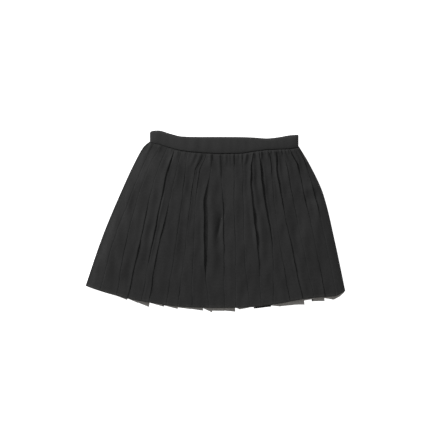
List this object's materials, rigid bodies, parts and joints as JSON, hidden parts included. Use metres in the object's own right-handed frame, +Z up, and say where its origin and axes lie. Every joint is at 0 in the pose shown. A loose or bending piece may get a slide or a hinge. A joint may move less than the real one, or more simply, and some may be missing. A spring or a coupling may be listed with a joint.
{
  "type": "pleated mini skirt",
  "caption": "Dark knife-pleated mini skirt with a plain waistband, laid flat with its front panel on its back panel.",
  "frame": {"origin": "bottom centre of the box of the flat skirt, on the surface it lies on", "axes": "+X to the right across the skirt as its front is seen from above, +Y up the skirt from the hem to the waist, +Z up out of the front of the cloth"},
  "size_m": [0.5946, 0.4159, 0.0131],
  "materials": {
    "skirt_cloth": "matte charcoal woven cloth with a dry crepe hand, pressed into knife pleats",
    "waistband_cloth": "matte charcoal woven cloth, doubled and stiffened, sewn flat"
  },
  "bodies": {
    "root": {"waistband": "waistband_cloth", "skirt_front": "skirt_cloth", "skirt_back": "skirt_cloth"}
  },
  "joints": []
}
